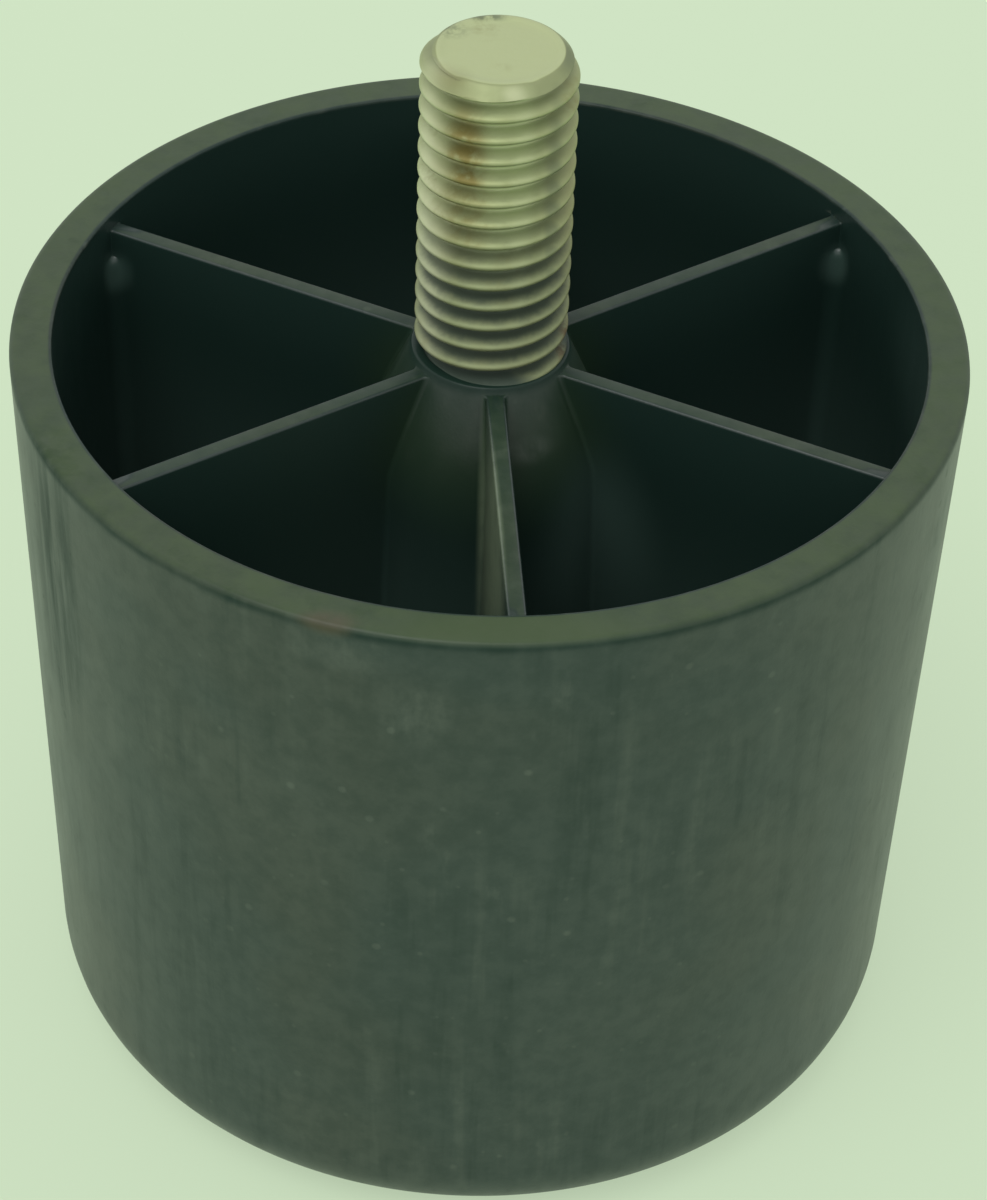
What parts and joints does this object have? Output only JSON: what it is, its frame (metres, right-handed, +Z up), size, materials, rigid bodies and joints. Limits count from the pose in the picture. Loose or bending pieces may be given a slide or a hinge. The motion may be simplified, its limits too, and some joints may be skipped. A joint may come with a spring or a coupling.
{
  "type": "furniture leg",
  "caption": "Short round tapered furniture leg: a ribbed plastic cup with a rounded foot edge and a central threaded stud that screws into the furniture's underside.",
  "frame": {"origin": "centre of the foot's flat underside", "axes": "+Z up along the leg's and the stud's axis, out of the open end; -Y along the first rib"},
  "size_m": [0.05, 0.05, 0.0602],
  "materials": {
    "leg_plastic": "satin moulded plastic, lightly scuffed",
    "stud_steel": "straw-tinted zinc plate"
  },
  "bodies": {
    "root": {"leg_body": "leg_plastic", "threaded_stud": "stud_steel"}
  },
  "joints": []
}
